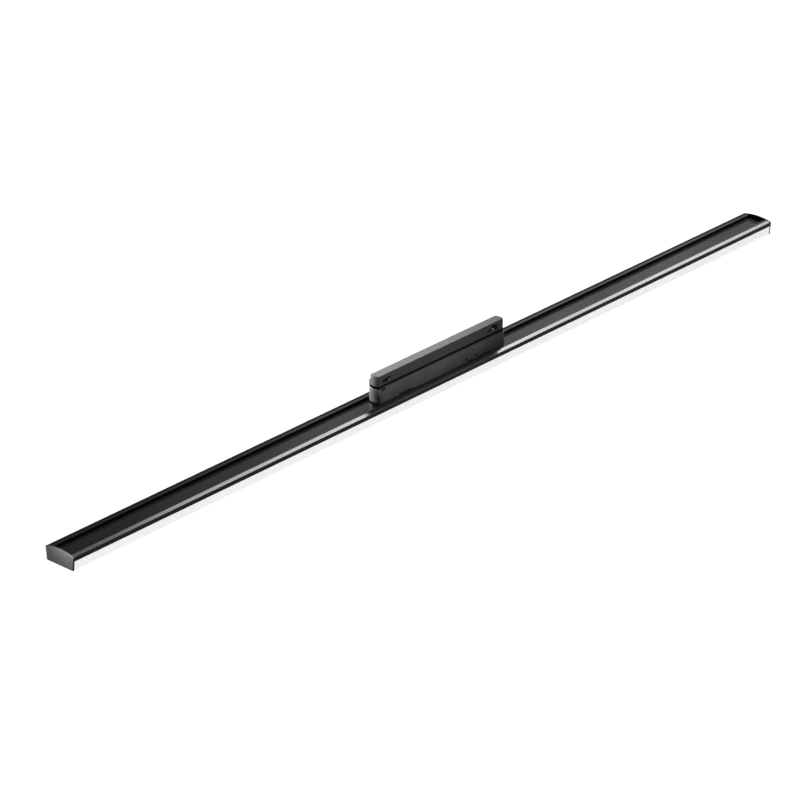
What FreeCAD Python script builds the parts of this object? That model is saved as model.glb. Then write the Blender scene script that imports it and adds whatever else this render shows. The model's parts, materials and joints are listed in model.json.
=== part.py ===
"""Slim linear light for a low-voltage ceiling track, with its driver inside the in-track adapter.

X runs along the bar, -Y is the front, +Z points up into the track.
The origin is the middle of the adapter's shoulder, level with the underside of the track.
All sizes are in millimetres.
"""
import FreeCAD, Part
import math
import os

V = FreeCAD.Vector
LEFT, RIGHT = -1, 1
FRONT, REAR = -1, 1
END_NAMES = {LEFT: "left", RIGHT: "right"}
SIDE_NAMES = {FRONT: "front", REAR: "rear"}

# Bar profile
bar_length = 1200.0
bar_top_width = 42.3
bar_bottom_width = 39.5
bar_side_height = 16.3
shoulder_above_rim = 15.9
rim_slope_rise = 1.0
rim_slope_width = 5.0
rim_thickness = 1.3
rim_corner_radius = 0.4
channel_width = 24.0
channel_depth = 3.9
channel_undercut = 2.2
floor_thickness = 1.6
lip_height = 5.15
lip_thickness = 1.6

# Diffuser
diffuser_wall = 1.5
diffuser_leg_thickness = 1.6
diffuser_leg_height = 2.7
diffuser_corner_radius = 0.9
diffuser_end_gap = 0.15
diffuser_fit = 0.2

# End caps
cap_thickness = 2.3
cap_arch_rise = 2.7
cap_edge_radius = 0.5
cap_lug_length = 7.0
cap_lug_width = 5.0
cap_lug_height = 3.0
cap_lug_centre = 12.5

# LED boards
board_width = 16.0
board_thickness = 1.2
board_end_margin = 9.0
board_gap = 1.0
board_centre_gap = 12.0
led_length = 3.5
led_width = 2.8
led_height = 0.7
led_pitch = 10.0
led_margin = 9.0
link_length = 9.0
link_width = 4.0
link_height = 1.8
link_centre = 5.4
feed_length = 7.0
feed_width = 5.0
feed_height = 3.0
feed_setback = 1.0

# Leads and the grommet in the channel floor
lead_radius = 0.7
lead_spacing = 1.8
lead_bend_radius = 3.0
jumper_radius = 0.5
jumper_reach = 4.0
grommet_bore_radius = 1.75
grommet_neck_radius = 3.0
grommet_flange_radius = 4.2
grommet_flange_thickness = 0.9
grommet_fit = 0.05

# Adapter, the half that goes up into the track
adapter_half_length = 107.2
upper_width = 12.5
upper_height = 12.3
upper_wall = 1.4
upper_edge_radius = 0.5
end_bow = 2.0
key_depth = 2.0
key_height = 5.6
neck_height = 3.4
neck_fit = 0.2
neck_setback = 2.0
neck_tongue = 1.0
neck_floor_length = 16.0
neck_end_length = 8.0
neck_end_setback = 0.4
neck_end_side_gap = 0.2
neck_flange_thickness = 1.1
neck_flange_fit = 0.2

# Adapter, the half that stands below the track
lower_end_setback = 0.2
lower_width = 17.4
lower_wall = 1.4
lower_edge_radius = 0.6
base_gap = 1.65
end_piece_length = 1.4
end_piece_gap = 0.7
end_piece_inset = 0.15
cover_corner_length = 6.5
cover_corner_height = 2.8
notch_height = 1.75
base_thickness = 2.2
base_setback = 4.0
base_side_gap = 0.1
base_hole_radius = 5.0

# Posts that join the base to the neck
post_setback = 6.0
post_length = 8.0
post_front_room = 2.3
post_rear_room = 0.9
post_board_depth = 2.5
post_lug_width = 6.0
post_lug_height = 6.0

# Clamp plates that grip the channel
clamp_thickness = 1.0
clamp_side_gap = 0.6
clamp_step_start = 0.3
clamp_step_end = 1.3
clamp_wing_gap = 0.3
clamp_screw_radius = 1.5
clamp_screw_length = 5.0
clamp_screw_y = -2.4
clamp_socket_radius = 0.8
clamp_socket_depth = 1.6
clamp_hole_fit = 0.05

# Screws
screw_radius = 1.25
screw_head_radius = 2.3
screw_head_height = 1.6
screw_fit = 0.05
base_screw_length = 6.0
neck_screw_length = 9.0
shell_screw_radius = 1.0
shell_screw_head_radius = 1.7
shell_screw_head_height = 1.2
shell_screw_length = 9.0
shell_screw_setback = 3.4
shell_boss_radius = 1.9
screw_slot_width = 0.6
screw_slot_depth = 0.6

# Driver board and what stands on it
driver_rear_room = 2.2
driver_thickness = 1.6
driver_bottom_gap = 0.3
driver_top_gap = 1.0
driver_fit = 0.1
driver_clamp_room = 0.5
driver_end_overlap = 2.0
trimmer_height_above_base = 3.0
trimmer_body_size = 3.7
trimmer_body_depth = 4.5
trimmer_rotor_radius = 1.25
trimmer_rotor_seat = 2.0
trimmer_tip_room = 0.9
trimmer_running_fit = 0.05
trimmer_hole_radius = 2.1
output_terminal_length = 10.0
output_terminal_depth = 7.0
output_terminal_height = 7.0
output_terminal_lift = 2.0
input_terminal_length = 8.0
input_terminal_height = 5.0
core_length = 19.0
core_front_room = 2.1
core_end_room = 0.4
core_leg = 3.4
winding_gap = 0.2
winding_overhang = 1.2
inductor_radius = 5.0
inductor_waist = 3.6
inductor_front_room = 2.3
inductor_flange = 1.2
capacitor_front_room = 2.8
capacitor_length = 14.0
capacitor_lift = 0.5
chip_length = 5.0
chip_height = 4.0
chip_depth = 1.4
chip_count = 4
board_part_gap = 0.6

# Contact and catch modules near each end of the upper half
carrier_fit = 0.25
carrier_margin = 1.0
carrier_web = 1.2
contact_width = 2.4
contact_back = 2.8
contact_flange = 0.5
contact_flange_depth = 1.4
contact_proud = 0.3
contact_nose_radius = 0.6
catch_proud = 0.5
module_floor_gap = 1.8
module_side_gap = 0.4
spring_thickness = 0.2
contact_spring_span = 3.2
contact_spring_width = 1.4
catch_spring_span = 4.4
catch_spring_width = 2.4
input_lead_radius = 0.5
input_lead_spacing = 3.0
input_lead_bend = 1.9
input_lead_tail = 0.1
input_lead_side_gap = 0.25

# Cuts reach this far past the face they open, and points closer than the tolerance are the same
overcut = 1.0
tolerance = 1e-3

# Distances below are measured from the end of the upper half that the module belongs to.
MODULES = {
    RIGHT: {
        "window": (9.6, 19.2),
        "window_height": 6.6,
        "slots": ((20.2, 22.4), (24.0, 26.2)),
        "slot_height": 4.4,
        "contact_at": 17.2,
        "contact_height": 2.9,
        "catch": (10.0, 15.4),
        "catch_heights": (5.7, 3.0),
    },
    LEFT: {
        "window": (9.6, 20.0),
        "window_height": 5.0,
        "slots": ((6.4, 8.6),),
        "slot_height": 4.4,
        "contact_at": 18.1,
        "contact_height": 2.2,
        "catch": (10.0, 14.8),
        "catch_heights": (4.2, 4.2),
    },
}
# Nearest and furthest distance of each notch from its end of the lower half
CLAMP_NOTCHES = {LEFT: (31.6, 53.8), RIGHT: (25.7, 45.2)}
WIRE_NOTCH = (55.2, 64.0)
TRIMMERS = {"dimming_trimmer_rotor": 49.2, "current_trimmer_rotor": 66.2}

# Levels worked out from the sizes above
z_rim = -shoulder_above_rim
z_rim_top = z_rim + rim_slope_rise
z_floor = z_rim_top - channel_depth
z_floor_under = z_floor - floor_thickness
z_lip = z_rim - lip_height
z_bottom = z_rim - bar_side_height
z_upper_bottom = neck_height
z_upper_top = z_upper_bottom + upper_height
z_cover_bottom = z_floor + base_gap
z_base_top = z_floor + base_thickness
z_flange_top = -lower_wall
z_flange_bottom = z_flange_top - neck_flange_thickness
z_board_under = z_floor_under - board_thickness
z_neck_top = z_upper_bottom + neck_tongue
z_module = z_neck_top + module_floor_gap

# Half widths and lengths worked out from the sizes above
profile_half_length = bar_length / 2 - cap_thickness
channel_half = channel_width / 2
undercut_half = channel_half + channel_undercut
upper_half = upper_width / 2
upper_inside = upper_half - upper_wall
lower_half = lower_width / 2
lower_inside = lower_half - lower_wall
lower_half_length = adapter_half_length - lower_end_setback
neck_width = 2 * (upper_inside - neck_fit)
driver_front_y = lower_inside - driver_rear_room - driver_thickness
driver_room = lower_inside + driver_front_y
core_depth = driver_room - core_front_room - winding_overhang
inductor_depth = driver_room - inductor_front_room
capacitor_radius = (driver_room - capacitor_front_room) / 2
cover_half_length = lower_half_length - end_piece_length - end_piece_gap
post_outer = lower_half_length - post_setback
post_inner = post_outer - post_length
post_x = (post_inner + post_outer) / 2
driver_half_length = post_inner + driver_end_overlap
z_driver_bottom = z_base_top + driver_bottom_gap
z_driver_top = z_flange_bottom - driver_top_gap
z_trimmer = z_base_top + trimmer_height_above_base
core_height = z_driver_top - z_driver_bottom - 2 * core_end_room
y_input_drop = -(neck_width / 2 - lower_wall - input_lead_radius - input_lead_side_gap)
input_terminal_depth = driver_front_y - y_input_drop - input_lead_bend - input_lead_tail


def box(x, y, z):
    """A box between two limits on each axis, given in any order."""
    low = V(min(x), min(y), min(z))
    size = V(max(x), max(y), max(z)) - low
    return Part.makeBox(size.x, size.y, size.z, low)


def cylinder(radius, start, end):
    return Part.makeCylinder(radius, (end - start).Length, start, end - start)


def prism_x(points, x_low, x_high):
    """Extrude a closed outline of (y, z) points along X."""
    outline = [V(x_low, y, z) for y, z in points]
    face = Part.Face(Part.makePolygon(outline + outline[:1]))
    return face.extrude(V(x_high - x_low, 0, 0))


def mirrored(points):
    """Close a right-hand half outline with its mirror image."""
    return points + [(-y, z) for y, z in reversed(points) if y > 0]


def bowed_prism(half_length, half_width, bow, z_low, z_high):
    """A long block whose two ends bulge out by bow in plan."""
    corners = [V(x, y, z_low) for x, y in (
        (-half_length, half_width),
        (-half_length, -half_width),
        (half_length, -half_width),
        (half_length, half_width),
    )]
    left_end = Part.Arc(corners[0], V(-half_length - bow, 0, z_low), corners[1]).toShape()
    right_end = Part.Arc(corners[2], V(half_length + bow, 0, z_low), corners[3]).toShape()
    front = Part.makeLine(corners[1], corners[2])
    rear = Part.makeLine(corners[3], corners[0])
    outline = Part.Wire([left_end, front, right_end, rear])
    return Part.Face(outline).extrude(V(0, 0, z_high - z_low))


def edges_at(shape, test):
    """Edges whose every vertex passes the test."""
    return [edge for edge in shape.Edges if all(test(v.Point) for v in edge.Vertexes)]


def upright_edges(shape, height):
    """Vertical edges that run the whole height of a block."""
    def is_upright(edge):
        low, high = (v.Point.z for v in edge.Vertexes)
        return near(abs(high - low), height)
    return [edge for edge in shape.Edges if is_upright(edge)]


def near(a, b):
    return abs(a - b) < tolerance


def side_half_width(z):
    """Half width of the bar's tapered side at a height."""
    share = (z_rim - z) / bar_side_height
    return (bar_top_width + (bar_bottom_width - bar_top_width) * share) / 2


def from_upper_end(end, distance):
    return end * (adapter_half_length - distance)


# ---- bar ----

def groove_limits():
    """Inner and outer half widths of the groove that holds a diffuser leg."""
    outer = side_half_width(z_lip) - lip_thickness
    inner = outer - diffuser_leg_thickness - 2 * diffuser_fit
    return inner, outer


def make_bar_housing():
    groove_inner, groove_outer = groove_limits()
    z_groove = z_lip + diffuser_leg_height + diffuser_fit
    z_rim_under = z_rim_top - rim_thickness
    half_section = [
        (groove_inner, z_floor_under),
        (groove_inner, z_groove),
        (groove_outer, z_groove),
        (groove_outer, z_lip),
        (side_half_width(z_lip), z_lip),
        (bar_top_width / 2, z_rim),
        (bar_top_width / 2 - rim_slope_width, z_rim_top),
        (channel_half, z_rim_top),
        (channel_half, z_rim_under),
        (undercut_half, z_rim_under),
        (undercut_half, z_floor),
    ]
    housing = prism_x(mirrored(half_section), -profile_half_length, profile_half_length)
    corners = edges_at(housing, lambda p: near(abs(p.y), bar_top_width / 2) and near(p.z, z_rim))
    housing = housing.makeFillet(rim_corner_radius, [e for e in corners if e.Length > bar_length / 2])
    hole = cylinder(
        grommet_neck_radius + grommet_fit,
        V(0, 0, z_floor_under - overcut),
        V(0, 0, z_floor + overcut),
    )
    return housing.cut(hole)


def make_diffuser():
    groove_inner, groove_outer = groove_limits()
    leg_inner = groove_outer - diffuser_leg_thickness
    leg_outer = groove_outer
    z_seam = z_lip - diffuser_fit
    z_leg_root = z_seam - diffuser_wall
    z_inside = z_bottom + diffuser_wall
    half_section = [
        (side_half_width(z_bottom), z_bottom),
        (side_half_width(z_seam), z_seam),
        (leg_outer, z_seam),
        (leg_outer, z_lip + diffuser_leg_height),
        (leg_inner, z_lip + diffuser_leg_height),
        (leg_inner, z_leg_root),
        (side_half_width(z_leg_root) - diffuser_wall, z_leg_root),
        (side_half_width(z_inside) - diffuser_wall, z_inside),
    ]
    half_length = profile_half_length - diffuser_end_gap
    diffuser = prism_x(mirrored(half_section), -half_length, half_length)
    corners = edges_at(diffuser, lambda p: near(p.z, z_bottom))
    return diffuser.makeFillet(diffuser_corner_radius, [e for e in corners if e.Length > bar_length / 2])


def make_end_cap(end):
    """Arched plate over the end of the profile, with two lugs that press in under the floor."""
    x_inner = end * profile_half_length
    top = bar_top_width / 2
    bottom = bar_bottom_width / 2
    left_foot = V(x_inner, -bottom, z_bottom)
    right_foot = V(x_inner, bottom, z_bottom)
    left_top = V(x_inner, -top, z_rim)
    right_top = V(x_inner, top, z_rim)
    arch = Part.Arc(left_top, V(x_inner, 0, z_rim + cap_arch_rise), right_top).toShape()
    outline = Part.Wire([
        Part.makeLine(left_foot, left_top),
        arch,
        Part.makeLine(right_top, right_foot),
        Part.makeLine(right_foot, left_foot),
    ])
    plate = Part.Face(outline).extrude(V(end * cap_thickness, 0, 0))
    x_outer = x_inner + end * cap_thickness
    cap = plate.makeFillet(cap_edge_radius, edges_at(plate, lambda p: near(p.x, x_outer)))
    for side in (FRONT, REAR):
        y_lug = side * cap_lug_centre
        lug = box(
            (x_inner, x_inner - end * cap_lug_length),
            (y_lug - cap_lug_width / 2, y_lug + cap_lug_width / 2),
            (z_floor_under, z_floor_under - cap_lug_height),
        )
        cap = cap.fuse(lug)
    return cap


# ---- LED boards ----

def board_spans():
    """X limits of the four boards, left to right."""
    inner = board_centre_gap / 2
    outer = profile_half_length - board_end_margin
    length = (outer - inner - board_gap) / 2
    right_half = [(inner, inner + length), (outer - length, outer)]
    left_half = [(-high, -low) for low, high in reversed(right_half)]
    return left_half + right_half


def make_led_board(span):
    return box(span, (-board_width / 2, board_width / 2), (z_board_under, z_floor_under))


def make_led_packages():
    packages = []
    for low, high in board_spans():
        count = int((high - low - 2 * led_margin) // led_pitch) + 1
        first = (low + high - (count - 1) * led_pitch) / 2
        for index in range(count):
            x = first + index * led_pitch
            packages.append(box(
                (x - led_length / 2, x + led_length / 2),
                (-led_width / 2, led_width / 2),
                (z_board_under - led_height, z_board_under),
            ))
    return Part.makeCompound(packages)


def make_board_links():
    """Connectors that bridge the gap between two boards on the same side of the middle."""
    spans = board_spans()
    links = []
    for left_board, right_board in ((spans[0], spans[1]), (spans[2], spans[3])):
        x = (left_board[1] + right_board[0]) / 2
        links.append(box(
            (x - link_length / 2, x + link_length / 2),
            (link_centre - link_width / 2, link_centre + link_width / 2),
            (z_board_under - link_height, z_board_under),
        ))
    return Part.makeCompound(links)


def make_centre_jumpers():
    reach = board_centre_gap / 2 + jumper_reach
    z = z_board_under - jumper_radius
    wires = []
    for side in (FRONT, REAR):
        y = side * link_centre
        wires.append(cylinder(jumper_radius, V(-reach, y, z), V(reach, y, z)))
    return Part.makeCompound(wires)


def feed_start():
    return board_centre_gap / 2 + feed_setback


def make_feed_connector():
    start = feed_start()
    return box(
        (start, start + feed_length),
        (-feed_width / 2, feed_width / 2),
        (z_board_under - feed_height, z_board_under),
    )


# ---- leads ----

def wire_along(points, bend, radius):
    """A round wire along straight runs joined by tangent arcs, all of one bend radius."""
    edges = []
    start = points[0]
    for before, corner, after in zip(points, points[1:], points[2:]):
        arrive = (corner - before).normalize()
        leave = (after - corner).normalize()
        turn = arrive.getAngle(leave)
        setback = bend * math.tan(turn / 2)
        arc_start = corner - arrive * setback
        arc_end = corner + leave * setback
        inward = (leave - arrive).normalize()
        arc_middle = corner + inward * (bend / math.cos(turn / 2) - bend)
        edges.append(Part.makeLine(start, arc_start))
        edges.append(Part.Arc(arc_start, arc_middle, arc_end).toShape())
        start = arc_end
    edges.append(Part.makeLine(start, points[-1]))
    path = Part.Wire(edges)
    ring = Part.makeCircle(radius, points[0], points[1] - points[0])
    return path.makePipeShell([Part.Wire(ring)], True, True)


def make_lead(side):
    """From the driver's output terminal down through the grommet and along to the feed connector."""
    y = side * lead_spacing / 2
    z_feed = z_board_under - feed_height / 2
    z_start = z_driver_bottom + output_terminal_lift
    points = [V(0, y, z_start), V(0, y, z_feed), V(feed_start(), y, z_feed)]
    return wire_along(points, lead_bend_radius, lead_radius)


def make_floor_grommet():
    neck = cylinder(grommet_neck_radius, V(0, 0, z_floor_under), V(0, 0, z_floor))
    upper = cylinder(grommet_flange_radius, V(0, 0, z_floor), V(0, 0, z_floor + grommet_flange_thickness))
    lower = cylinder(
        grommet_flange_radius,
        V(0, 0, z_floor_under - grommet_flange_thickness),
        V(0, 0, z_floor_under),
    )
    bore = cylinder(
        grommet_bore_radius,
        V(0, 0, z_floor_under - grommet_flange_thickness - overcut),
        V(0, 0, z_floor + grommet_flange_thickness + overcut),
    )
    return neck.fuse([upper, lower]).cut(bore).removeSplitter()


# ---- base, clamps and posts ----

def clamp_limits(end):
    """X limits of the clamp notch at one end of the lower half."""
    near_end, far_end = CLAMP_NOTCHES[end]
    return sorted((end * (lower_half_length - near_end), end * (lower_half_length - far_end)))


def clamp_centre(end):
    return sum(clamp_limits(end)) / 2


def make_base_plate():
    """Flat bar on the channel floor, narrower than the covers so that it reads as a dark gap."""
    half_width = lower_inside - base_side_gap
    plate = bowed_prism(lower_half_length - base_setback, half_width, end_bow, z_floor, z_base_top)
    hole = cylinder(base_hole_radius, V(0, 0, z_floor - overcut), V(0, 0, z_base_top + overcut))
    plate = plate.cut(hole)
    for end in (LEFT, RIGHT):
        plate = plate.cut(countersunk_screw(end * post_x, screw_fit))
    return plate


def countersunk_screw(x, growth):
    """The screw that comes up through the base into a post; growth makes its hole."""
    shank = cylinder(
        screw_radius + growth,
        V(x, 0, z_floor),
        V(x, 0, z_floor + base_screw_length + growth),
    )
    head = Part.makeCone(
        screw_head_radius + growth,
        screw_radius + growth,
        screw_head_radius - screw_radius,
        V(x, 0, z_floor),
        V(0, 0, 1),
    )
    return shank.fuse(head).removeSplitter()


def make_base_screws():
    screws = []
    for end in (LEFT, RIGHT):
        slot = box(
            (end * post_x - screw_head_radius, end * post_x + screw_head_radius),
            (-screw_slot_width / 2, screw_slot_width / 2),
            (z_floor, z_floor + screw_slot_depth),
        )
        screws.append(countersunk_screw(end * post_x, 0).cut(slot))
    return Part.makeCompound(screws)


def make_clamp_plate(end):
    """Sprung plate on the base, stepped down outside the covers so that its wings hook under the rims."""
    z_wing_top = z_rim_top - rim_thickness
    tip = undercut_half - clamp_wing_gap
    z_plate_top = z_base_top + clamp_thickness
    half_section = [
        (lower_half + clamp_step_start, z_base_top),
        (lower_half + clamp_step_end, z_wing_top - clamp_thickness),
        (tip, z_wing_top - clamp_thickness),
        (tip, z_wing_top),
        (lower_half + clamp_step_end, z_wing_top),
        (lower_half + clamp_step_start, z_plate_top),
    ]
    low, high = clamp_limits(end)
    plate = prism_x(mirrored(half_section), low + clamp_side_gap, high - clamp_side_gap)
    x = clamp_centre(end)
    hole = cylinder(
        clamp_screw_radius + clamp_hole_fit,
        V(x, clamp_screw_y, z_base_top - overcut),
        V(x, clamp_screw_y, z_plate_top + overcut),
    )
    return plate.cut(hole)


def make_clamp_screws():
    """Jack screws: each is threaded through a clamp plate and presses on the base."""
    screws = []
    for end in (LEFT, RIGHT):
        x = clamp_centre(end)
        top = z_base_top + clamp_screw_length
        screw = cylinder(clamp_screw_radius, V(x, clamp_screw_y, z_base_top), V(x, clamp_screw_y, top))
        socket = cylinder(
            clamp_socket_radius,
            V(x, clamp_screw_y, top - clamp_socket_depth),
            V(x, clamp_screw_y, top + overcut),
        )
        screws.append(screw.cut(socket))
    return Part.makeCompound(screws)


def make_post(end):
    """Block between the base and the neck; the driver board's end sits in its slot."""
    post = box(
        (end * post_inner, end * post_outer),
        (-lower_inside + post_front_room, lower_inside - post_rear_room),
        (z_base_top, z_flange_bottom),
    )
    board_slot = box(
        (end * (post_inner - overcut), end * (post_inner + post_board_depth)),
        (driver_front_y - driver_fit, driver_front_y + driver_thickness + driver_fit),
        (z_base_top - overcut, z_flange_bottom + overcut),
    )
    return post.cut([board_slot, countersunk_screw(end * post_x, screw_fit), neck_screw(end, screw_fit)])


# ---- neck and its screws ----

def neck_screw(end, growth):
    """Pan-head screw that goes down through the neck's end floor into a post."""
    x = end * post_x
    shank = cylinder(screw_radius + growth, V(x, 0, 0), V(x, 0, -neck_screw_length - growth))
    head = cylinder(screw_head_radius + growth, V(x, 0, 0), V(x, 0, screw_head_height))
    return head.fuse(shank).removeSplitter()


def make_neck_screws():
    screws = []
    for end in (LEFT, RIGHT):
        x = end * post_x
        slot = box(
            (x - screw_head_radius, x + screw_head_radius),
            (-screw_slot_width / 2, screw_slot_width / 2),
            (screw_head_height - screw_slot_depth, screw_head_height),
        )
        screws.append(neck_screw(end, 0).cut(slot))
    return Part.makeCompound(screws)


def shell_screw(end, growth):
    """Pan-head screw that goes up through the neck's end floor into a boss in the upper shell."""
    x = end * (adapter_half_length - shell_screw_setback)
    start = V(x, 0, z_flange_bottom)
    shank = cylinder(shell_screw_radius + growth, start, start + V(0, 0, shell_screw_length + growth))
    head = cylinder(shell_screw_head_radius + growth, start, start - V(0, 0, shell_screw_head_height))
    return head.fuse(shank).removeSplitter()


def make_shell_screws():
    screws = []
    for end in (LEFT, RIGHT):
        x = end * (adapter_half_length - shell_screw_setback)
        z_head = z_flange_bottom - shell_screw_head_height
        slot = box(
            (x - shell_screw_head_radius, x + shell_screw_head_radius),
            (-screw_slot_width / 2, screw_slot_width / 2),
            (z_head, z_head + screw_slot_depth),
        )
        screws.append(shell_screw(end, 0).cut(slot))
    return Part.makeCompound(screws)


def neck_end(end):
    """Wider block that closes the groove at one end of the neck."""
    block = box(
        (end * (adapter_half_length - neck_end_length), end * (adapter_half_length + end_bow)),
        (-upper_half + neck_end_side_gap, upper_half + key_depth - neck_end_side_gap),
        (0, z_upper_bottom),
    )
    half_length = adapter_half_length - neck_end_setback
    return block.common(bowed_prism(half_length, upper_half + key_depth, end_bow, 0, z_upper_bottom))


def make_neck_frame():
    """Recessed spine: a flange under the covers' ledge, a waist in the groove, a tongue in the shell."""
    waist = bowed_prism(
        adapter_half_length - neck_setback,
        neck_width / 2,
        end_bow,
        z_flange_bottom,
        z_neck_top,
    )
    flange = box(
        (-cover_half_length, cover_half_length),
        (-lower_inside + neck_flange_fit, lower_inside - neck_flange_fit),
        (z_flange_bottom, z_flange_top),
    )
    frame = waist.fuse([flange, neck_end(LEFT), neck_end(RIGHT)]).removeSplitter()
    opening = box(
        (-(adapter_half_length - neck_floor_length), adapter_half_length - neck_floor_length),
        (-neck_width / 2 + lower_wall, neck_width / 2 - lower_wall),
        (z_flange_bottom - overcut, z_neck_top + overcut),
    )
    frame = frame.cut(opening)
    for end in (LEFT, RIGHT):
        x = end * post_x
        recess = cylinder(screw_head_radius + screw_fit, V(x, 0, 0), V(x, 0, z_neck_top + overcut))
        frame = frame.cut([neck_screw(end, screw_fit), recess, shell_screw(end, screw_fit)])
    return frame


# ---- lower covers and end pieces ----

def make_lower_cover(side):
    """Side wall and half of the top ledge, with notches for the clamp plates."""
    y_outer = side * lower_half
    y_inner = side * lower_inside
    y_neck = side * (neck_width / 2 + neck_flange_fit)
    outline = [
        (y_outer, z_cover_bottom),
        (y_outer, 0),
        (y_neck, 0),
        (y_neck, z_flange_top),
        (y_inner, z_flange_top),
        (y_inner, z_cover_bottom),
    ]
    cover = prism_x(outline, -cover_half_length, cover_half_length)
    top_edge = edges_at(cover, lambda p: near(p.y, y_outer) and near(p.z, 0))
    cover = cover.makeFillet(lower_edge_radius, top_edge)
    across = (y_outer + side * overcut, y_inner - side * overcut)
    notch_z = (z_cover_bottom - overcut, z_cover_bottom + notch_height)
    cuts = []
    for end in (LEFT, RIGHT):
        cuts.append(box(clamp_limits(end), across, notch_z))
    wire_low, wire_high = (lower_half_length - distance for distance in WIRE_NOTCH)
    cuts.append(box((wire_low, wire_high), across, notch_z))
    cuts.append(cover_corner(across))
    if side == FRONT:
        for distance in TRIMMERS.values():
            x = from_upper_end(RIGHT, distance)
            cuts.append(cylinder(trimmer_hole_radius, V(x, across[0], z_trimmer), V(x, across[1], z_trimmer)))
    return cover.cut(cuts)


def cover_corner(across):
    """The cut that clips a cover's upper left corner off."""
    x = -cover_half_length
    corner = [
        V(x - overcut, across[0], overcut),
        V(x + cover_corner_length, across[0], overcut),
        V(x + cover_corner_length, across[0], -cover_corner_height / 2),
        V(x + cover_corner_length / 2, across[0], -cover_corner_height),
        V(x - overcut, across[0], -cover_corner_height),
    ]
    face = Part.Face(Part.makePolygon(corner + corner[:1]))
    return face.extrude(V(0, across[1] - across[0], 0))


def make_end_piece(end):
    """Bowed end of the lower half, a hollow cap with a lug that reaches its post."""
    half_width = lower_half - end_piece_inset
    outer = bowed_prism(lower_half_length, half_width, end_bow, z_cover_bottom, 0)
    round_edges = edges_at(outer, lambda p: near(p.z, 0)) + upright_edges(outer, -z_cover_bottom)
    outer = outer.makeFillet(lower_edge_radius, round_edges)
    inner = bowed_prism(
        lower_half_length - lower_wall,
        half_width - lower_wall,
        end_bow,
        z_cover_bottom - overcut,
        -lower_wall - neck_flange_fit,
    )
    neck_room = bowed_prism(
        adapter_half_length - neck_setback + neck_flange_fit,
        neck_width / 2 + neck_flange_fit,
        end_bow,
        z_flange_bottom,
        overcut,
    )
    keep = box(
        (end * (cover_half_length + end_piece_gap), end * bar_length),
        (-lower_width, lower_width),
        (z_cover_bottom - overcut, overcut),
    )
    z_lug = (z_cover_bottom + z_flange_bottom) / 2
    lug = box(
        (end * post_outer, end * (lower_half_length + end_bow - lower_wall / 2)),
        (-post_lug_width / 2, post_lug_width / 2),
        (z_lug - post_lug_height / 2, z_lug + post_lug_height / 2),
    )
    return outer.cut([inner, neck_room]).common(keep).fuse(lug).removeSplitter()


# ---- driver ----

def make_driver_board():
    board = box(
        (-driver_half_length, driver_half_length),
        (driver_front_y, driver_front_y + driver_thickness),
        (z_driver_bottom, z_driver_top),
    )
    for end in (LEFT, RIGHT):
        low, high = clamp_limits(end)
        board = board.cut(box(
            (low - driver_clamp_room, high + driver_clamp_room),
            (driver_front_y - overcut, driver_front_y + driver_thickness + overcut),
            (z_driver_bottom - overcut, z_base_top + clamp_thickness + driver_clamp_room),
        ))
    return board


def on_board(x, length, depth, z_low, z_high):
    """A box that stands on the front of the driver board."""
    return box((x - length / 2, x + length / 2), (driver_front_y - depth, driver_front_y), (z_low, z_high))


def core_x():
    """The transformer stands next to the left clamp."""
    return clamp_limits(LEFT)[1] + board_part_gap + core_length / 2


def inductor_x():
    """The inductor stands between the transformer and the output terminal."""
    return -output_terminal_length / 2 - board_part_gap - inductor_radius


def capacitor_xs():
    """One can lies between the left post and clamp, the other between the terminal and the trimmers."""
    left_room = (-post_inner + clamp_limits(LEFT)[0]) / 2
    trimmer_edge = from_upper_end(RIGHT, max(TRIMMERS.values())) - trimmer_body_size / 2
    right_room = (output_terminal_length / 2 + trimmer_edge) / 2
    return left_room, right_room


def make_transformer_core():
    z = (z_driver_bottom + z_driver_top) / 2
    core = on_board(core_x(), core_length, core_depth, z - core_height / 2, z + core_height / 2)
    window = on_board(
        core_x(),
        core_length - 2 * core_leg,
        core_depth + 2 * overcut,
        z - core_height / 2 + core_leg,
        z + core_height / 2 - core_leg,
    )
    window.translate(V(0, overcut, 0))
    return core.cut(window)


def make_transformer_winding():
    """Taped winding that fills the core's window and stands proud of it at the front."""
    z = (z_driver_bottom + z_driver_top) / 2
    winding = on_board(
        core_x(),
        core_length - 2 * core_leg - 2 * winding_gap,
        core_depth + winding_overhang,
        z - core_height / 2 + core_leg + winding_gap,
        z + core_height / 2 - core_leg - winding_gap,
    )
    y_front = driver_front_y - core_depth - winding_overhang
    return winding.makeFillet(winding_overhang / 2, edges_at(winding, lambda p: near(p.y, y_front)))


def make_output_inductor():
    """Drum core: two flanges and a wound waist, standing on the board."""
    z = (z_driver_bottom + z_driver_top) / 2
    foot = V(inductor_x(), driver_front_y, z)
    top = foot - V(0, inductor_depth, 0)
    drum = cylinder(inductor_waist, foot, top)
    lower_flange = cylinder(inductor_radius, foot, foot - V(0, inductor_flange, 0))
    upper_flange = cylinder(inductor_radius, top + V(0, inductor_flange, 0), top)
    return drum.fuse([lower_flange, upper_flange]).removeSplitter()


def make_capacitors():
    """Electrolytic cans lying along the board."""
    z = (z_driver_bottom + z_driver_top) / 2 + capacitor_lift
    y = driver_front_y - capacitor_radius
    cans = []
    for x in capacitor_xs():
        reach = V(capacitor_length / 2, 0, 0)
        can = cylinder(capacitor_radius, V(x, y, z) - reach, V(x, y, z) + reach)
        cans.append(can.makeFillet(capacitor_lift, [e for e in can.Edges if e.Closed]))
    return Part.makeCompound(cans)


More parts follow.
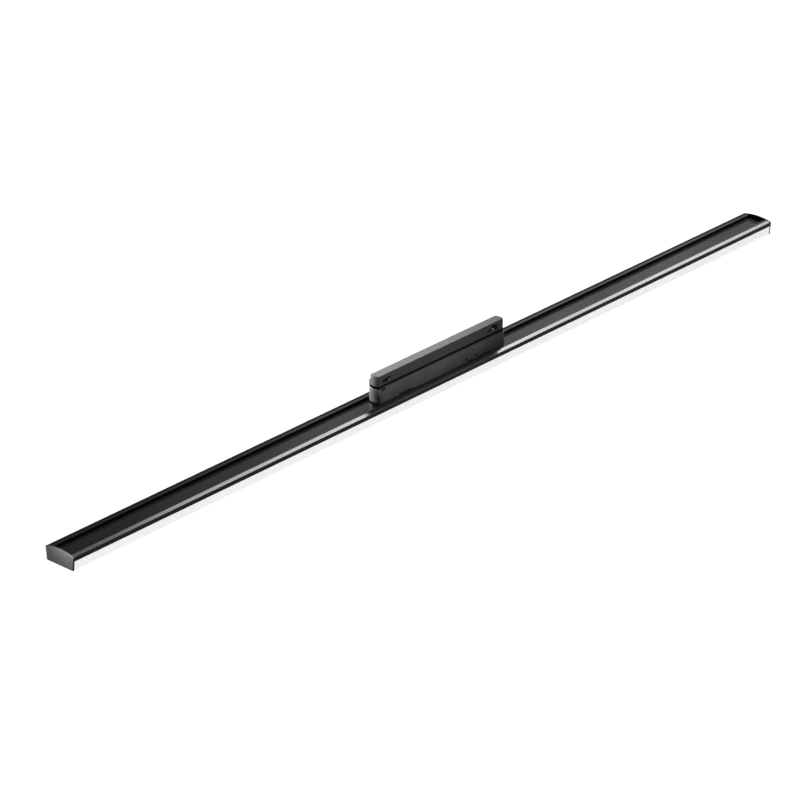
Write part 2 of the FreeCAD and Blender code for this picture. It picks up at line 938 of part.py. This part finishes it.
def make_control_chips():
    """Flat packages evenly spaced along the rear of the board."""
    z = (z_driver_bottom + z_driver_top) / 2
    y = driver_front_y + driver_thickness
    pitch = 2 * driver_half_length / (chip_count + 1)
    chips = []
    for index in range(chip_count):
        x = -driver_half_length + (index + 1) * pitch
        chips.append(box(
            (x - chip_length / 2, x + chip_length / 2),
            (y, y + chip_depth),
            (z - chip_height / 2, z + chip_height / 2),
        ))
    return Part.makeCompound(chips)


def make_output_terminal():
    z = z_driver_bottom + output_terminal_lift
    return on_board(0, output_terminal_length, output_terminal_depth, z, z + output_terminal_height)


def input_x():
    """The input leads drop through the neck between the slots of the right module."""
    slot_near, slot_far = MODULES[RIGHT]["slots"][0][1], MODULES[RIGHT]["slots"][1][0]
    return from_upper_end(RIGHT, (slot_near + slot_far) / 2)


def make_input_terminal():
    return on_board(
        input_x(),
        input_terminal_length,
        input_terminal_depth,
        z_driver_top - input_terminal_height,
        z_driver_top,
    )


def trimmer_socket(x):
    seat_end = driver_front_y - trimmer_body_depth
    radius = trimmer_rotor_radius + trimmer_running_fit
    return cylinder(
        radius,
        V(x, seat_end - overcut, z_trimmer),
        V(x, seat_end + trimmer_rotor_seat + module_side_gap, z_trimmer),
    )


def make_trimmer_bodies():
    bodies = []
    half = trimmer_body_size / 2
    for distance in TRIMMERS.values():
        x = from_upper_end(RIGHT, distance)
        body = on_board(x, trimmer_body_size, trimmer_body_depth, z_trimmer - half, z_trimmer + half)
        bodies.append(body.cut(trimmer_socket(x)))
    return Part.makeCompound(bodies)


def make_trimmer_rotor(distance):
    """Slotted shaft that ends just behind its hole in the front cover."""
    x = from_upper_end(RIGHT, distance)
    seat_end = driver_front_y - trimmer_body_depth
    tip = -lower_inside + trimmer_tip_room
    rotor = cylinder(
        trimmer_rotor_radius,
        V(x, seat_end + trimmer_rotor_seat, z_trimmer),
        V(x, tip, z_trimmer),
    )
    slot = box(
        (x - trimmer_rotor_radius, x + trimmer_rotor_radius),
        (tip, tip + screw_slot_depth),
        (z_trimmer - screw_slot_width / 2, z_trimmer + screw_slot_width / 2),
    )
    return rotor.cut(slot)


# ---- upper shell ----

def make_upper_shell():
    """Hollow half that goes up into the track, with a key rib along its rear side."""
    body = bowed_prism(adapter_half_length, upper_half, end_bow, z_upper_bottom, z_upper_top)
    round_edges = edges_at(body, lambda p: near(p.z, z_upper_top)) + upright_edges(body, upper_height)
    body = body.makeFillet(upper_edge_radius, round_edges)
    key = box(
        (-adapter_half_length, adapter_half_length),
        (upper_inside, upper_half + key_depth),
        (z_upper_bottom, z_upper_bottom + key_height),
    )
    hollow = bowed_prism(
        adapter_half_length - upper_wall,
        upper_inside,
        end_bow,
        z_upper_bottom - overcut,
        z_upper_top - upper_wall,
    )
    shell = body.fuse(key).cut(hollow)
    bosses = []
    cuts = []
    for end in (LEFT, RIGHT):
        x = end * (adapter_half_length - shell_screw_setback)
        bosses.append(cylinder(shell_boss_radius, V(x, 0, z_neck_top), V(x, 0, z_upper_top - upper_wall / 2)))
        cuts.append(shell_screw(end, screw_fit))
        cuts += module_openings(end)
    return shell.fuse(bosses).cut(cuts).removeSplitter()


def module_openings(end):
    """Window and slots of one module, cut through the front and the rear wall."""
    module = MODULES[end]
    z_low = z_module - module_side_gap
    cuts = []
    for side in (FRONT, REAR):
        across = (side * (upper_inside - overcut), side * (upper_half + key_depth + overcut))
        window = [from_upper_end(end, distance) for distance in module["window"]]
        cuts.append(box(window, across, (z_low, z_low + module["window_height"])))
        for slot in module["slots"]:
            limits = [from_upper_end(end, distance) for distance in slot]
            cuts.append(box(limits, across, (z_low, z_low + module["slot_height"])))
    return cuts


# ---- contacts and catches ----

def nose_face(side):
    """How far out the shell's face is where the contacts come through."""
    return upper_half + (key_depth if side == REAR else 0)


def make_contact_carrier(end):
    """Moulded block behind one module, with a web down its middle that the springs push on."""
    module = MODULES[end]
    distances = [d for slot in module["slots"] for d in slot] + list(module["window"])
    limits = [
        from_upper_end(end, min(distances) - carrier_margin),
        from_upper_end(end, max(distances) + carrier_margin),
    ]
    carrier = box(
        limits,
        (-upper_inside + carrier_fit, upper_inside - carrier_fit),
        (z_neck_top, z_upper_top - upper_wall - carrier_fit),
    )
    near_end, far_end = module["window"]
    pocket_x = [
        from_upper_end(end, near_end - contact_flange - module_side_gap),
        from_upper_end(end, far_end + contact_flange + module_side_gap),
    ]
    z_top = z_module - module_side_gap + module["window_height"]
    pockets = []
    for side in (FRONT, REAR):
        across = (side * carrier_web / 2, side * upper_half)
        pockets.append(box(pocket_x, across, (z_module - module_side_gap, z_top)))
        for slot in module["slots"]:
            slot_x = [from_upper_end(end, distance) for distance in slot]
            slot_top = z_module - module_side_gap + module["slot_height"]
            slot_across = (side * contact_back, side * upper_half)
            pockets.append(box(slot_x, slot_across, (z_module - module_side_gap, slot_top)))
    return carrier.cut(pockets)


def make_contact(end, side):
    """Metal contact with a rounded nose, and a flange that the window's edge holds in."""
    module = MODULES[end]
    centre = from_upper_end(end, module["contact_at"])
    z_limits = (z_module, z_module + module["contact_height"])
    tip = nose_face(side) + contact_proud
    nose = box(
        (centre - contact_width / 2, centre + contact_width / 2),
        (side * contact_back, side * tip),
        z_limits,
    )
    nose = nose.makeFillet(contact_nose_radius, edges_at(nose, lambda p: near(p.y, side * tip)))
    flange_x = from_upper_end(end, module["window"][1] + contact_flange)
    flange = box(
        (centre, flange_x),
        (side * contact_back, side * (contact_back + contact_flange_depth)),
        z_limits,
    )
    return nose.fuse(flange).removeSplitter()


def make_catch(end, side):
    """Sprung dog with a sloped top and a ramped nose that snaps over the track's inner ledge."""
    module = MODULES[end]
    x_near, x_far = [from_upper_end(end, distance) for distance in module["catch"]]
    high, low = module["catch_heights"]
    tip = nose_face(side) + catch_proud
    back = side * contact_back
    outline = [
        V(x_near, back, z_module),
        V(x_far, back, z_module),
        V(x_far, back, z_module + low),
        V(x_near, back, z_module + high),
    ]
    dog = Part.Face(Part.makePolygon(outline + outline[:1])).extrude(V(0, side * tip - back, 0))
    top_nose = edges_at(dog, lambda p: near(p.y, side * tip) and p.z > z_module + low / 2)
    dog = dog.makeChamfer(catch_proud, top_nose[:1])
    flange_x = from_upper_end(end, module["window"][0] - contact_flange)
    flange = box(
        (flange_x, x_far),
        (back, back + side * contact_flange_depth),
        (z_module, z_module + low),
    )
    return dog.fuse(flange).removeSplitter()


def make_spring(x, z, side, span, width):
    """Arched leaf whose feet stand on the carrier's web and whose crown bears on the moving piece."""
    y_foot = side * carrier_web / 2
    y_crown = side * contact_back
    z_low = z - width / 2
    outer_feet = [V(x - span / 2, y_foot, z_low), V(x + span / 2, y_foot, z_low)]
    inner_feet = [outer_feet[0] + V(spring_thickness, 0, 0), outer_feet[1] - V(spring_thickness, 0, 0)]
    outer = Part.Arc(outer_feet[0], V(x, y_crown, z_low), outer_feet[1]).toShape()
    inner = Part.Arc(inner_feet[1], V(x, y_crown - side * spring_thickness, z_low), inner_feet[0]).toShape()
    outline = Part.Wire([
        outer,
        Part.makeLine(outer_feet[1], inner_feet[1]),
        inner,
        Part.makeLine(inner_feet[0], outer_feet[0]),
    ])
    return Part.Face(outline).extrude(V(0, 0, width))


def make_contact_spring(end, side):
    module = MODULES[end]
    x = from_upper_end(end, module["contact_at"])
    z = z_module + module["contact_height"] / 2
    return make_spring(x, z, side, contact_spring_span, contact_spring_width)


def make_catch_spring(end, side):
    module = MODULES[end]
    x = from_upper_end(end, sum(module["catch"]) / 2)
    z = z_module + min(module["catch_heights"]) / 2
    return make_spring(x, z, side, catch_spring_span, catch_spring_width)


def make_input_leads():
    """Two leads from the right contact carrier down through the neck to the input terminal."""
    leads = []
    x = input_x()
    z_start = z_neck_top
    z_end = z_driver_top - input_terminal_height / 2
    y_end = driver_front_y - input_terminal_depth
    for side in (LEFT, RIGHT):
        lead_x = x + side * input_lead_spacing / 2
        points = [V(lead_x, y_input_drop, z_start), V(lead_x, y_input_drop, z_end), V(lead_x, y_end, z_end)]
        leads.append(wire_along(points, input_lead_bend, input_lead_radius))
    return Part.makeCompound(leads)


def build_nodes():
    nodes = {
        "bar_housing": make_bar_housing(),
        "diffuser": make_diffuser(),
        "led_packages": make_led_packages(),
        "board_links": make_board_links(),
        "centre_jumpers": make_centre_jumpers(),
        "feed_connector": make_feed_connector(),
        "floor_grommet": make_floor_grommet(),
        "lead_positive": make_lead(FRONT),
        "lead_negative": make_lead(REAR),
        "input_leads": make_input_leads(),
        "base_plate": make_base_plate(),
        "base_screws": make_base_screws(),
        "clamp_screws": make_clamp_screws(),
        "neck_frame": make_neck_frame(),
        "neck_screws": make_neck_screws(),
        "shell_screws": make_shell_screws(),
        "driver_board": make_driver_board(),
        "transformer_core": make_transformer_core(),
        "transformer_winding": make_transformer_winding(),
        "output_inductor": make_output_inductor(),
        "capacitors": make_capacitors(),
        "control_chips": make_control_chips(),
        "output_terminal": make_output_terminal(),
        "input_terminal": make_input_terminal(),
        "trimmer_bodies": make_trimmer_bodies(),
        "upper_shell": make_upper_shell(),
    }
    for number, span in enumerate(board_spans(), start=1):
        nodes[f"led_board_{number}"] = make_led_board(span)
    for name, distance in TRIMMERS.items():
        nodes[name] = make_trimmer_rotor(distance)
    for side, side_name in SIDE_NAMES.items():
        nodes[f"lower_cover_{side_name}"] = make_lower_cover(side)
    for end, end_name in END_NAMES.items():
        nodes[f"end_cap_{end_name}"] = make_end_cap(end)
        nodes[f"clamp_plate_{end_name}"] = make_clamp_plate(end)
        nodes[f"post_{end_name}"] = make_post(end)
        nodes[f"end_piece_{end_name}"] = make_end_piece(end)
        nodes[f"contact_carrier_{end_name}"] = make_contact_carrier(end)
        for side, side_name in SIDE_NAMES.items():
            place = f"{end_name}_{side_name}"
            nodes[f"contact_{place}"] = make_contact(end, side)
            nodes[f"catch_{place}"] = make_catch(end, side)
            nodes[f"contact_spring_{place}"] = make_contact_spring(end, side)
            nodes[f"catch_spring_{place}"] = make_catch_spring(end, side)
    return nodes


os.makedirs("parts", exist_ok=True)
for name, shape in build_nodes().items():
    if not shape.isValid() or any(solid.Volume <= 0 for solid in shape.Solids):
        raise SystemExit(f"{name} is not a valid solid")
    shape.exportStep(f"parts/{name}.step")
    print(f"{name}: {len(shape.Solids)} solid(s), {shape.Volume:.1f} mm3")
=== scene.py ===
import json
import math

import bpy
from mathutils import Matrix, Vector


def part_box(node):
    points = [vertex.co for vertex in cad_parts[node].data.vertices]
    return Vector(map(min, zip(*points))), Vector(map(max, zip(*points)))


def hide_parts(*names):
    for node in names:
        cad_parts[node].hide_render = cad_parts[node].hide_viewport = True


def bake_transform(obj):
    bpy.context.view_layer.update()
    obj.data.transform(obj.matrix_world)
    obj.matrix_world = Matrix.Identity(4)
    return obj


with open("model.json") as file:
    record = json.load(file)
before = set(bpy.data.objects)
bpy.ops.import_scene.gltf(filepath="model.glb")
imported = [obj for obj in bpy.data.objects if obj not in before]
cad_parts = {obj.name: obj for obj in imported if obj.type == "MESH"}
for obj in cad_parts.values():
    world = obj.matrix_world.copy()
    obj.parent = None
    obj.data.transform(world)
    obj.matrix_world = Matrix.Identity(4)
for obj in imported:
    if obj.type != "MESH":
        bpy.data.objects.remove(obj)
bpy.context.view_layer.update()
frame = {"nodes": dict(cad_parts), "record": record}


# ---- camera and stage ----

CAMERA_LOCATION = Vector((-3.256, -2.886, 2.050))
CAMERA_BACK = Vector((-0.6678, -0.6038, 0.4352))
CAMERA_RIGHT = Vector((0.6707, -0.7417, 0.0))
CAMERA_LENS = 188.5
SENSOR_WIDTH = 36.0
CLIP_START = 0.1
CLIP_END = 200.0
FLOOR_DROP = 3.6
FLOOR_SIZE = 80.0

# Brightness of the surroundings against height, as shares of the brightness overhead
SKY_CURVE = ((0.0, 0.05), (0.435, 0.08), (0.643, 0.42), (1.0, 1.0))
SKY_TOP = 2.6


def make_camera():
    data = bpy.data.cameras.new("camera")
    data.sensor_width = SENSOR_WIDTH
    data.lens = CAMERA_LENS
    data.clip_start = CLIP_START
    data.clip_end = CLIP_END
    camera = bpy.data.objects.new("camera", data)
    bpy.context.collection.objects.link(camera)
    back = CAMERA_BACK.normalized()
    right = CAMERA_RIGHT.normalized()
    up = back.cross(right)
    turn = Matrix((right, up, back)).transposed()
    camera.matrix_world = Matrix.Translation(CAMERA_LOCATION) @ turn.to_4x4()
    bpy.context.scene.camera = camera


def make_floor(material):
    half = FLOOR_SIZE / 2
    mesh = bpy.data.meshes.new("floor")
    corners = [(-half, -half, 0), (half, -half, 0), (half, half, 0), (-half, half, 0)]
    mesh.from_pydata(corners, [], [(0, 1, 2, 3)])
    floor = bpy.data.objects.new("floor", mesh)
    floor.location.z = -FLOOR_DROP
    bpy.context.collection.objects.link(floor)
    mesh.materials.append(material)


def make_world():
    """Studio surroundings that brighten with height: dim at the horizon, white overhead."""
    world = bpy.data.worlds.new("studio")
    world.use_nodes = True
    nodes = world.node_tree.nodes
    links = world.node_tree.links
    coordinates = nodes.new("ShaderNodeTexCoord")
    split = nodes.new("ShaderNodeSeparateXYZ")
    curve = nodes.new("ShaderNodeFloatCurve")
    background = nodes["Background"]
    points = curve.mapping.curves[0].points
    for index, (height, share) in enumerate(SKY_CURVE):
        if index < len(points):
            points[index].location = (height, share)
        else:
            points.new(height, share)
    curve.mapping.update()
    scale = nodes.new("ShaderNodeMath")
    scale.operation = "MULTIPLY"
    scale.inputs[1].default_value = SKY_TOP
    links.new(coordinates.outputs["Generated"], split.inputs["Vector"])
    links.new(split.outputs["Z"], curve.inputs["Value"])
    links.new(curve.outputs["Value"], scale.inputs[0])
    links.new(scale.outputs["Value"], background.inputs["Strength"])
    background.inputs["Color"].default_value = (1.0, 1.0, 1.0, 1.0)
    bpy.context.scene.world = world


def mirrored_view(target, normal):
    """Direction in which a face at the target mirrors the camera."""
    view = (Vector(target) - CAMERA_LOCATION).normalized()
    normal = Vector(normal).normalized()
    return view - 2 * view.dot(normal) * normal


def softbox(name, target, direction, distance, size, radiance, receivers):
    """An area light that faces its target and lights the receivers only."""
    data = bpy.data.lights.new(name, "AREA")
    data.shape = "RECTANGLE"
    data.size, data.size_y = size
    data.energy = radiance * math.pi * size[0] * size[1]
    light = bpy.data.objects.new(name, data)
    toward_light = Vector(direction).normalized()
    light.location = Vector(target) + toward_light * distance
    light.rotation_mode = "QUATERNION"
    light.rotation_quaternion = toward_light.to_track_quat("Z", "Y")
    bpy.context.collection.objects.link(light)
    group = bpy.data.collections.new(name + "_receivers")
    for node in receivers:
        group.objects.link(frame["nodes"][node])
    light.light_linking.receiver_collection = group


# ---- materials ----

DRIFT_SCALE = 25.0
GRAIN_DETAIL = 2.0
GRAIN_STRENGTH = 0.8
NOISE_LOW, NOISE_HIGH = 0.3, 0.7
TONE_LOW, TONE_HIGH = 0.35, 0.65


def new_material(name):
    material = bpy.data.materials.new(name)
    material.use_nodes = True
    nodes = material.node_tree.nodes
    return material, nodes, material.node_tree.links, nodes["Principled BSDF"]


def noise(nodes, links, scale, stretch, detail=3.0):
    """Noise in object space; stretch scales the coordinates on each axis."""
    coordinates = nodes.new("ShaderNodeTexCoord")
    mapping = nodes.new("ShaderNodeMapping")
    mapping.inputs["Scale"].default_value = stretch
    texture = nodes.new("ShaderNodeTexNoise")
    texture.inputs["Scale"].default_value = scale
    texture.inputs["Detail"].default_value = detail
    links.new(coordinates.outputs["Object"], mapping.inputs["Vector"])
    links.new(mapping.outputs["Vector"], texture.inputs["Vector"])
    return texture.outputs["Fac"]


def spread(nodes, links, source, low, high):
    """Map the middle of the noise's range to low..high."""
    node = nodes.new("ShaderNodeMapRange")
    node.inputs["From Min"].default_value = NOISE_LOW
    node.inputs["From Max"].default_value = NOISE_HIGH
    node.inputs["To Min"].default_value = low
    node.inputs["To Max"].default_value = high
    links.new(source, node.inputs["Value"])
    return node.outputs["Result"]


def two_colours(nodes, links, source, low, high):
    """Blend from the low colour to the high one across the middle of the noise's range."""
    ramp = nodes.new("ShaderNodeValToRGB")
    ramp.color_ramp.elements[0].position = TONE_LOW
    ramp.color_ramp.elements[1].position = TONE_HIGH
    ramp.color_ramp.elements[0].color = (*low, 1)
    ramp.color_ramp.elements[1].color = (*high, 1)
    links.new(source, ramp.inputs["Fac"])
    return ramp.outputs["Color"]


def bump(nodes, links, source, strength, distance):
    node = nodes.new("ShaderNodeBump")
    node.inputs["Strength"].default_value = strength
    node.inputs["Distance"].default_value = distance
    links.new(source, node.inputs["Height"])
    return node.outputs["Normal"]


def textured(
    name, low, high, rough, grain_scale, grain_depth, stretch=(1, 1, 1), specular=0.5, metallic=0.0
):
    """A base colour that drifts between two tones, with a fine grain in the roughness and the bump."""
    material, nodes, links, shader = new_material(name)
    drift = noise(nodes, links, DRIFT_SCALE, stretch)
    grain = noise(nodes, links, grain_scale, stretch, GRAIN_DETAIL)
    links.new(two_colours(nodes, links, drift, low, high), shader.inputs["Base Color"])
    links.new(spread(nodes, links, grain, rough[0], rough[1]), shader.inputs["Roughness"])
    links.new(bump(nodes, links, grain, GRAIN_STRENGTH, grain_depth), shader.inputs["Normal"])
    shader.inputs["Specular IOR Level"].default_value = specular
    shader.inputs["Metallic"].default_value = metallic
    return material


BLUE_SHARE = 1.03


def grey(value):
    """A grey that leans slightly to blue."""
    return (value, value, value * BLUE_SHARE)


# The grain of an extrusion runs along the bar
EXTRUDED = (0.02, 1, 1)

# Slot: name, low and high tone, roughness range, grain scale, grain depth in metres, and what else differs
MATERIALS = {
    "housing_black": (
        ("black_anodised", grey(0.0028), grey(0.0048), (0.15, 0.21), 2400, 0.00001),
        {"stretch": EXTRUDED, "specular": 0.05},
    ),
    "cap_black": (
        ("black_cap", grey(0.0038), grey(0.0052), (0.38, 0.48), 1800, 0.00007),
        {"specular": 0.04},
    ),
    "adapter_black": (
        ("black_moulding", grey(0.0155), grey(0.0215), (0.40, 0.50), 1800, 0.00007),
        {"specular": 0.08},
    ),
    # Deep black of the moulded carriers and catches. The neck frame in the groove also takes this slot,
    # and there the extra depth of black is painted shade for the groove under the upper shell.
    "carrier_black": (
        ("deep_black_and_groove_shade", grey(0.003), grey(0.005), (0.5, 0.6), 1800, 0.00007),
        {"specular": 0.03},
    ),
    "base_black": (
        ("black_powder_coat", grey(0.004), grey(0.006), (0.6, 0.7), 700, 0.00005),
        {"specular": 0.03},
    ),
    "opal": (("opal", (0.875, 0.895, 0.9), (0.89, 0.905, 0.91), (0.45, 0.5), 600, 0.00001), {}),
    "board_white": (("white_mask", grey(0.8), grey(0.84), (0.3, 0.4), 500, 0.00001), {}),
    "led_phosphor": (("phosphor", (0.9, 0.7, 0.2), (0.95, 0.8, 0.3), (0.3, 0.4), 900, 0.00001), {}),
    "terminal_white": (("nylon", grey(0.7), grey(0.76), (0.4, 0.5), 700, 0.00002), {}),
    "wire_red": (
        ("red_insulation", (0.4, 0.01, 0.01), (0.5, 0.02, 0.02), (0.4, 0.5), 900, 0.00002),
        {},
    ),
    "wire_black": (("black_insulation", grey(0.01), grey(0.02), (0.4, 0.5), 900, 0.00002), {}),
    "grommet_rubber": (("rubber", grey(0.01), grey(0.02), (0.7, 0.8), 900, 0.00003), {"specular": 0.3}),
    "screw_steel": (("zinc", grey(0.5), grey(0.6), (0.25, 0.35), 1500, 0.00001), {"metallic": 1.0}),
    "spring_steel": (
        ("spring_steel", grey(0.5), grey(0.6), (0.2, 0.3), 1500, 0.00001),
        {"metallic": 1.0},
    ),
    "contact_metal": (
        ("contact_metal", grey(0.16), grey(0.22), (0.35, 0.45), 1500, 0.00001),
        {"metallic": 1.0},
    ),
    "board_green": (
        ("green_mask", (0.01, 0.09, 0.04), (0.015, 0.13, 0.05), (0.3, 0.4), 700, 0.00002),
        {},
    ),
    "ferrite": (("ferrite", grey(0.03), grey(0.05), (0.5, 0.6), 900, 0.00004), {}),
    "winding_tape": (("tape", (0.6, 0.42, 0.04), (0.7, 0.5, 0.06), (0.3, 0.4), 700, 0.00002), {}),
    "capacitor_can": (("can_sleeve", grey(0.02), grey(0.04), (0.3, 0.4), 700, 0.00002), {}),
    "chip_black": (("epoxy", grey(0.004), grey(0.008), (0.5, 0.6), 900, 0.00003), {"specular": 0.1}),
    "rotor_black": (
        ("rotor_black", grey(0.003), grey(0.005), (0.5, 0.6), 900, 0.00002),
        {"specular": 0.03},
    ),
}

MADE = {}


def finish(slot):
    """The slot's material, made the first time it is asked for."""
    if slot not in MADE:
        values, differences = MATERIALS[slot]
        MADE[slot] = textured(*values, **differences)
    return MADE[slot]


def paint_nodes():
    slots = {part["node"]: part["material_slot"] for part in frame["record"]["subparts"]}
    for node, piece in frame["nodes"].items():
        piece.data.materials.clear()
        piece.data.materials.append(finish(slots[node]))


# ---- leaf springs, drawn as fixed arches in place of the spring nodes ----

LEAF_HALF_SPAN = {"contact": 0.0016, "catch": 0.0022}
LEAF_THICKNESS = 0.0002
LEAF_STEPS = 24
POINTS_PER_STEP = 4


def leaf_points(half_span, rise, radius_drop):
    """Arch in (along, out) from foot to foot, drawn radius_drop inside the outer face."""
    radius = (half_span ** 2 + rise ** 2) / (2 * rise)
    sweep = math.acos((radius - rise) / radius)
    points = []
    for step in range(LEAF_STEPS + 1):
        angle = sweep * (2 * step / LEAF_STEPS - 1)
        reach = radius - radius_drop
        points.append((reach * math.sin(angle), reach * math.cos(angle) - radius + rise))
    return points


def make_leaf(node):
    """An arched strip in place of the node, rising from its feet to its crown across the node's box."""
    low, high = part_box(node)
    side = 1 if high.y > 0 else -1
    foot = min(abs(low.y), abs(high.y))
    crown = max(abs(low.y), abs(high.y))
    centre = (low.x + high.x) / 2
    half_span = LEAF_HALF_SPAN[node.split("_")[0]]
    vertices = []
    outer = leaf_points(half_span, crown - foot, 0)
    inner = leaf_points(half_span, crown - foot, LEAF_THICKNESS)
    for (x_out, y_out), (x_in, y_in) in zip(outer, inner):
        for x, y in ((x_out, y_out), (x_in, y_in)):
            for z in (low.z, high.z):
                vertices.append((centre + x, side * (foot + y), z))
    faces = [(0, 1, 3, 2)]
    for step in range(LEAF_STEPS):
        a = POINTS_PER_STEP * step
        b = a + POINTS_PER_STEP
        faces += [
            (a, b, b + 1, a + 1),
            (a + 2, a + 3, b + 3, b + 2),
            (a, a + 2, b + 2, b),
            (a + 1, b + 1, b + 3, a + 3),
        ]
    last = POINTS_PER_STEP * LEAF_STEPS
    faces.append((last, last + 2, last + 3, last + 1))
    mesh = bpy.data.meshes.new(node + "_leaf")
    mesh.from_pydata(vertices, [], faces)
    mesh.materials.append(finish("spring_steel"))
    leaf = bpy.data.objects.new(node + "_leaf", mesh)
    bpy.context.collection.objects.link(leaf)
    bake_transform(leaf)
    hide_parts(node)


def make_leaves():
    for node in list(frame["nodes"]):
        if "_spring_" in node:
            make_leaf(node)


# ---- lights ----

UP = (0, 0, 1)
FRONT_FACET = (0, -0.203, 0.979)
ON_CORNER = (0, -0.5, 0.866)
LEFT_SEAM = (-0.72, -0.69, 0)
LEFT_END = (-0.108, 0.005, 0)
RIGHT_END = (0.108, -0.005, -0.006)
CAP_FACE = (-0.6, -0.004, -0.022)
LEFT_PIECE = ("end_piece_left",)
RIGHT_PIECE = ("end_piece_right",)
UPPER_SHELL = ("upper_shell",)
LOWER_HALF = ("lower_cover_front", "lower_cover_rear", "end_piece_left", "end_piece_right")
ADAPTER = UPPER_SHELL + LOWER_HALF
BAR = ("bar_housing",)

# Rows of boxes over the bar: where each is along it, and its radiance
BAR_BOX_DISTANCE = 1.5
RIM_POINT = (-0.0187, -0.0154)
RIM_BOX_SIZE = (0.30, 0.45)
RIM_BOXES = ((-0.5, 6), (-0.3, 25), (-0.1, 15), (0.1, 10), (0.3, 13), (0.5, 22))
FLOOR_POINT = (0, -0.0188)
FLOOR_BOX_SIZE = (0.30, 0.24)
FLOOR_BOXES = ((-0.5, 0.0), (-0.3, 0.55), (-0.1, 1.2), (0.1, 1.2), (0.3, 1.15), (0.5, 1.1))

# Name, point aimed at, normal of the face that mirrors the box to the camera, distance, size,
# radiance, pieces lit
TOP_BOXES = (
    ("edge_box", (0, -0.021, -0.0159), ON_CORNER, 1.5, (1.6, 0.5), 22.0, BAR),
    ("adapter_box_left", (-0.13, 0, 0.0157), UP, 0.8, (0.3, 0.3), 13.0, ADAPTER),
    ("adapter_box_wide", (0.03, 0, 0.0157), UP, 0.8, (0.3, 0.3), 4.4, ADAPTER),
)
SEAM_BOX = ("seam_box", (-0.107, -0.0085, -0.006), LEFT_SEAM, 0.3, (0.08, 0.08), 85.0, LEFT_PIECE)

# Name, point aimed at, direction to the box, distance, size, radiance, pieces lit
FACE_BOXES = (
    ("upper_front_box", (-0.03, -0.0063, 0.009), (0, -1, 0.84), 0.1, (0.1, 0.1), 5.0, UPPER_SHELL),
    ("lower_front_box", (-0.05, -0.0087, -0.008), (0, -1, 0.84), 0.15, (0.1, 0.1), 21.0, LOWER_HALF),
    ("left_end_box", LEFT_END, (-0.25, 0.95, 0.2), 0.1, (0.04, 0.04), 400.0, LEFT_PIECE),
    ("shell_end_box", LEFT_END, (-0.55, 0.8, 0.2), 0.1, (0.04, 0.04), 190.0, UPPER_SHELL),
)
END_BOXES = (
    ("right_end_box", RIGHT_END, (0.95, 0, 0.3), 0.1, (0.04, 0.04), 90.0, RIGHT_PIECE),
    ("cap_box", CAP_FACE, (-0.62, -0.25, 0.75), 0.045, (0.03, 0.03), 380.0, ("end_cap_left",)),
    ("front_box", (0, 0, -0.02), (-0.25, -0.9, 0.1), 2.5, (2.4, 1.0), 1.65, ("diffuser",)),
)


def mirror_box(name, target, normal, *rest):
    softbox(name, target, mirrored_view(target, normal), *rest)


def light_bar():
    """Boxes that show as tones in the front rim and on the channel's floor."""
    for x, radiance in RIM_BOXES:
        at = (x, *RIM_POINT)
        mirror_box(f"rim_box_{x}", at, FRONT_FACET, BAR_BOX_DISTANCE, RIM_BOX_SIZE, radiance, BAR)
    for x, radiance in FLOOR_BOXES:
        at = (x, *FLOOR_POINT)
        mirror_box(f"floor_box_{x}", at, UP, BAR_BOX_DISTANCE, FLOOR_BOX_SIZE, radiance, BAR)


def light_rest():
    """Boxes for the bar's edge, the adapter's faces and ends, the left cap and the diffuser."""
    for box in TOP_BOXES:
        mirror_box(*box)
    for box in FACE_BOXES:
        softbox(*box)
    mirror_box(*SEAM_BOX)
    for box in END_BOXES:
        softbox(*box)


# ---- the scene ----

make_camera()
make_floor(textured("pale_floor", grey(0.86), grey(0.87), (0.8, 0.85), 3, 0.0001, specular=0.1))
make_world()
paint_nodes()
make_leaves()
light_bar()
light_rest()

bpy.context.scene.view_settings.view_transform = "Standard"
